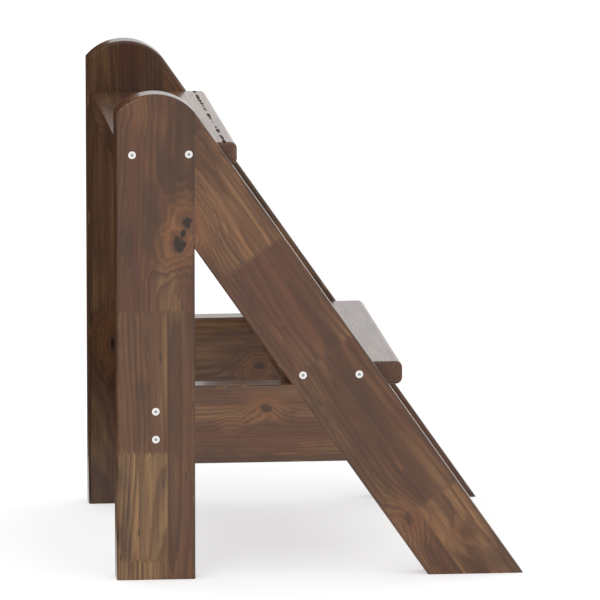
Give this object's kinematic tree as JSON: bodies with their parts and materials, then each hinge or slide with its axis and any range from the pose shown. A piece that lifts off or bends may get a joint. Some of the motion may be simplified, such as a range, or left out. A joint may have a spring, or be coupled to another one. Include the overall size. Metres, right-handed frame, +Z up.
{
  "type": "spa steps",
  "caption": "Wooden spa steps: leaning side frames with arched rear posts, rounded-nose treads and a rear rail, screwed together.",
  "frame": {"origin": "on the floor, in the middle of the outline", "axes": "+X towards the front, where the climb starts; +Y along the treads; +Z up"},
  "size_m": [0.4926, 0.52, 0.59],
  "materials": {
    "wood": "dark brown stained softwood under satin gloss varnish",
    "tread_wood": "dark brown stained softwood under satin gloss varnish, grain along the tread",
    "screw_steel": "bright stainless steel",
    "dowel_wood": "plain beech, glued"
  },
  "bodies": {
    "root": {"rear_post_left": "wood", "rear_post_right": "wood", "stringer_left": "wood", "stringer_right": "wood", "brace_left": "wood", "brace_right": "wood", "top_tread": "tread_wood", "lower_tread": "tread_wood", "rear_rail": "wood", "top_tread_screws_left": "screw_steel", "top_tread_screws_right": "screw_steel", "lower_tread_screws_left": "screw_steel", "lower_tread_screws_right": "screw_steel", "rear_rail_screws_left": "screw_steel", "rear_rail_screws_right": "screw_steel", "post_stringer_dowels_left": "dowel_wood", "post_stringer_dowels_right": "dowel_wood", "post_brace_dowels_left": "dowel_wood", "post_brace_dowels_right": "dowel_wood", "brace_stringer_dowels_left": "dowel_wood", "brace_stringer_dowels_right": "dowel_wood"}
  },
  "joints": []
}
